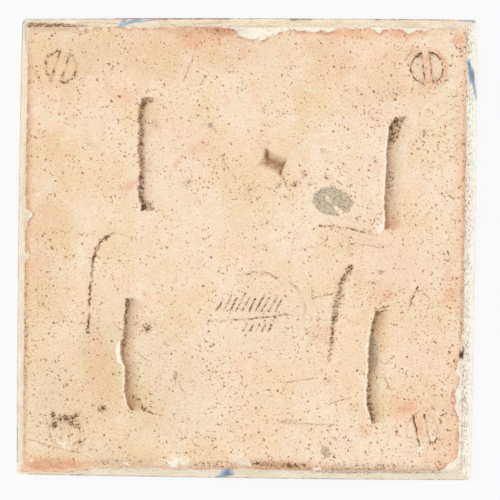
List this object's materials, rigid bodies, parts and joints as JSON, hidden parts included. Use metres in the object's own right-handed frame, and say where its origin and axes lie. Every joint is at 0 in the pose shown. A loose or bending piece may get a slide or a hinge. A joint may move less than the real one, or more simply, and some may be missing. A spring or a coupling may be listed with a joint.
{
  "type": "hand-painted tile",
  "caption": "Square hand-pressed clay wall tile with edges that lean in to an unglazed back cut with mortar keys, a glaze-run rim and a brush-painted glazed face underneath.",
  "frame": {"origin": "middle of the glazed face, which the tile lies on", "axes": "+Z out of the keyed back, +Y towards the top edge of the back as the picture shows it, +X to its right"},
  "size_m": [0.1524, 0.1524, 0.011],
  "materials": {
    "fired_clay": "matt buff fired clay on the back, with a cream glaze and blue brush marks over the edges and the face"
  },
  "bodies": {
    "root": {"tile": "fired_clay"}
  },
  "joints": []
}
